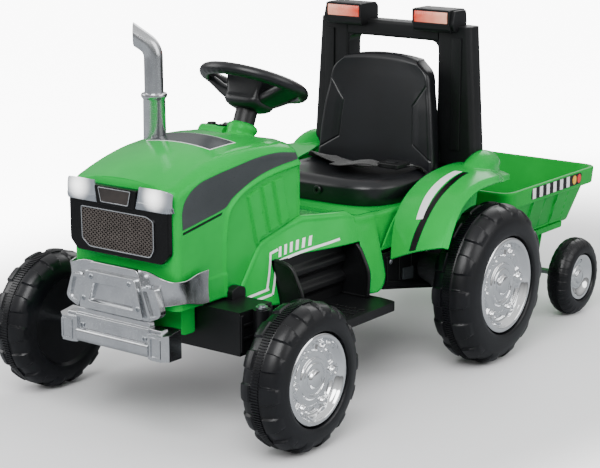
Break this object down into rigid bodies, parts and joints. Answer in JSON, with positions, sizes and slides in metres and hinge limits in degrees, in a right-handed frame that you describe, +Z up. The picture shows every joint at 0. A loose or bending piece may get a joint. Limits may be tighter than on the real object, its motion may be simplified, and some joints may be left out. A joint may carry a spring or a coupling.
{
  "type": "ride-on toy tractor",
  "caption": "Battery ride-on toy tractor with a steering front axle, seat, roll bar, exhaust stack, foot steps and a towed open trailer on its own wheels.",
  "frame": {"origin": "on the ground, at the middle of the footprint of tractor and trailer together", "axes": "+Z up, the tractor drives towards -Y, its left side is +X"},
  "size_m": [0.64, 1.346, 0.6673],
  "materials": {
    "chassis": "moulded black polypropylene, fine texture",
    "body_shell": "glossy green moulded ABS",
    "front_valance": "glossy green moulded ABS",
    "hood": "glossy green moulded ABS",
    "front_fascia": "black moulded ABS",
    "grille": "silver printed mesh plate with a pale frame",
    "badge_panel": "dark mesh-look label panel",
    "headlights": "clear polycarbonate lens, ribbed below",
    "bumper_wrap": "satin silver paint on plastic",
    "bumper_bar": "satin silver paint on plastic",
    "bumper_screws": "zinc-plated steel",
    "exhaust_stack": "silver vacuum-coated plastic",
    "dash_panel": "glossy green moulded ABS",
    "power_button": "red moulded cap",
    "direction_switch": "black rocker",
    "column_collar": "glossy green moulded ABS",
    "column_tube": "black moulded sleeve",
    "steering_wheel": "black moulded polypropylene",
    "steering_shaft": "bent steel rod",
    "horn_button": "yellow moulded cap",
    "music_button": "blue moulded cap",
    "tie_rod": "steel rod with pressed eyes",
    "knuckle_left": "bent steel rod",
    "knuckle_right": "bent steel rod",
    "front_tyre_left": "blow-moulded black polyethylene",
    "front_cover_left": "vacuum-metallised cover",
    "front_tyre_right": "blow-moulded black polyethylene",
    "front_cover_right": "vacuum-metallised cover",
    "rear_axle": "steel rod",
    "rear_tyre_left": "blow-moulded black polyethylene",
    "rear_cover_left": "vacuum-metallised cover",
    "rear_tyre_right": "blow-moulded black polyethylene",
    "rear_cover_right": "vacuum-metallised cover",
    "gearboxes": "black glass-filled nylon",
    "motors": "steel motor can",
    "fender_left": "glossy green moulded ABS",
    "fender_right": "glossy green moulded ABS",
    "step_left": "moulded black polypropylene",
    "step_right": "moulded black polypropylene",
    "pedal": "ribbed black pedal",
    "seat": "black moulded seat, fine leather grain",
    "seat_screw": "blackened steel",
    "seat_belt": "woven polyester webbing",
    "belt_buckle": "moulded acetal buckle",
    "roll_bar": "moulded black polypropylene",
    "roof_lights": "red to orange lens",
    "battery": "sealed lead-acid case",
    "control_box": "plastic case",
    "charge_socket": "black socket",
    "hitch_bracket": "black-painted steel",
    "hitch_pin": "zinc-plated steel",
    "trailer_tub": "glossy green moulded polypropylene",
    "drawbar": "black moulded drawbar",
    "trailer_axle": "black-painted steel rod",
    "trailer_tyre_left": "blow-moulded black polyethylene",
    "trailer_cover_left": "vacuum-metallised cover",
    "trailer_tyre_right": "blow-moulded black polyethylene",
    "trailer_cover_right": "vacuum-metallised cover"
  },
  "bodies": {
    "tractor": {"chassis": "chassis", "body_shell": "body_shell", "front_valance": "front_valance", "hood": "hood", "front_fascia": "front_fascia", "grille": "grille", "badge_panel": "badge_panel", "headlights": "headlights", "bumper_wrap": "bumper_wrap", "bumper_bar": "bumper_bar", "bumper_screws": "bumper_screws", "exhaust_stack": "exhaust_stack", "dash_panel": "dash_panel", "column_collar": "column_collar", "column_tube": "column_tube", "rear_axle": "rear_axle", "gearboxes": "gearboxes", "motors": "motors", "fender_left": "fender_left", "fender_right": "fender_right", "step_left": "step_left", "step_right": "step_right", "seat": "seat", "seat_screw": "seat_screw", "seat_belt": "seat_belt", "belt_buckle": "belt_buckle", "roll_bar": "roll_bar", "roof_lights": "roof_lights", "battery": "battery", "control_box": "control_box", "charge_socket": "charge_socket", "hitch_bracket": "hitch_bracket", "hitch_pin": "hitch_pin"},
    "steering": {"steering_wheel": "steering_wheel", "steering_shaft": "steering_shaft"},
    "horn_button": {"horn_button": "horn_button"},
    "music_button": {"music_button": "music_button"},
    "tie_rod": {"tie_rod": "tie_rod"},
    "knuckle_left": {"knuckle_left": "knuckle_left"},
    "knuckle_right": {"knuckle_right": "knuckle_right"},
    "front_wheel_left": {"front_tyre_left": "front_tyre_left", "front_cover_left": "front_cover_left"},
    "front_wheel_right": {"front_tyre_right": "front_tyre_right", "front_cover_right": "front_cover_right"},
    "rear_wheel_left": {"rear_tyre_left": "rear_tyre_left", "rear_cover_left": "rear_cover_left"},
    "rear_wheel_right": {"rear_tyre_right": "rear_tyre_right", "rear_cover_right": "rear_cover_right"},
    "power_button": {"power_button": "power_button"},
    "direction_switch": {"direction_switch": "direction_switch"},
    "pedal": {"pedal": "pedal"},
    "trailer": {"trailer_tub": "trailer_tub", "drawbar": "drawbar", "trailer_axle": "trailer_axle"},
    "trailer_wheel_left": {"trailer_tyre_left": "trailer_tyre_left", "trailer_cover_left": "trailer_cover_left"},
    "trailer_wheel_right": {"trailer_tyre_right": "trailer_tyre_right", "trailer_cover_right": "trailer_cover_right"}
  },
  "joints": [
    {"name": "steering_turn", "type": "hinge", "parent": "tractor", "child": "steering", "pos_m": [0, -0.32, 0.479], "axis": [0, 0.4067, 0.9135], "range_deg": [-45, 45]},
    {"name": "horn_press", "type": "slide", "parent": "steering", "child": "horn_button", "axis": [0, -0.4067, -0.9135], "range_m": [0, 0.002], "stiffness_N_per_m": 300},
    {"name": "music_press", "type": "slide", "parent": "steering", "child": "music_button", "axis": [0, -0.4067, -0.9135], "range_m": [0, 0.002], "stiffness_N_per_m": 300},
    {"name": "tie_rod_slide", "type": "slide", "parent": "tractor", "child": "tie_rod", "axis": [1, 0, 0], "range_m": [-0.0241, 0.0241]},
    {"name": "kingpin_left", "type": "hinge", "parent": "tractor", "child": "knuckle_left", "pos_m": [0.2, -0.523, 0.15], "axis": [0, 0, 1], "range_deg": [-20.1, 20.1]},
    {"name": "kingpin_right", "type": "hinge", "parent": "tractor", "child": "knuckle_right", "pos_m": [-0.2, -0.523, 0.15], "axis": [0, 0, 1], "range_deg": [-20.1, 20.1]},
    {"name": "front_spin_left", "type": "hinge", "parent": "knuckle_left", "child": "front_wheel_left", "pos_m": [0.28, -0.523, 0.125], "axis": [1, 0, 0], "continuous": true},
    {"name": "front_spin_right", "type": "hinge", "parent": "knuckle_right", "child": "front_wheel_right", "pos_m": [-0.28, -0.523, 0.125], "axis": [1, 0, 0], "continuous": true},
    {"name": "rear_spin_left", "type": "hinge", "parent": "tractor", "child": "rear_wheel_left", "pos_m": [0.273, 0.073, 0.152], "axis": [1, 0, 0], "continuous": true},
    {"name": "rear_spin_right", "type": "hinge", "parent": "tractor", "child": "rear_wheel_right", "pos_m": [-0.273, 0.073, 0.152], "axis": [1, 0, 0], "continuous": true},
    {"name": "power_press", "type": "slide", "parent": "tractor", "child": "power_button", "axis": [0, 0, -1], "range_m": [0, 0.002], "stiffness_N_per_m": 300},
    {"name": "direction_rock", "type": "hinge", "parent": "tractor", "child": "direction_switch", "pos_m": [-0.0335, -0.332, 0.494], "axis": [1, 0, 0], "range_deg": [-8, 8]},
    {"name": "pedal_press", "type": "hinge", "parent": "tractor", "child": "pedal", "pos_m": [-0.2, -0.219, 0.174], "axis": [1, 0, 0], "range_deg": [0, 9], "stiffness_Nm_per_rad": 2, "springref_deg": -5.73},
    {"name": "trailer_yaw", "type": "hinge", "parent": "tractor", "child": "trailer", "pos_m": [0, 0.237, 0.175], "axis": [0, 0, 1], "range_deg": [-25, 25]},
    {"name": "trailer_spin_left", "type": "hinge", "parent": "trailer", "child": "trailer_wheel_left", "pos_m": [0.251, 0.452, 0.08], "axis": [1, 0, 0], "continuous": true},
    {"name": "trailer_spin_right", "type": "hinge", "parent": "trailer", "child": "trailer_wheel_right", "pos_m": [-0.251, 0.452, 0.08], "axis": [1, 0, 0], "continuous": true}
  ],
  "couplings": [
    {"joint": "tie_rod_slide", "follows": "steering_turn", "m_per_rad": -0.030483},
    {"joint": "kingpin_left", "follows": "steering_turn", "ratio": 0.44444},
    {"joint": "kingpin_right", "follows": "steering_turn", "ratio": 0.44444}
  ]
}
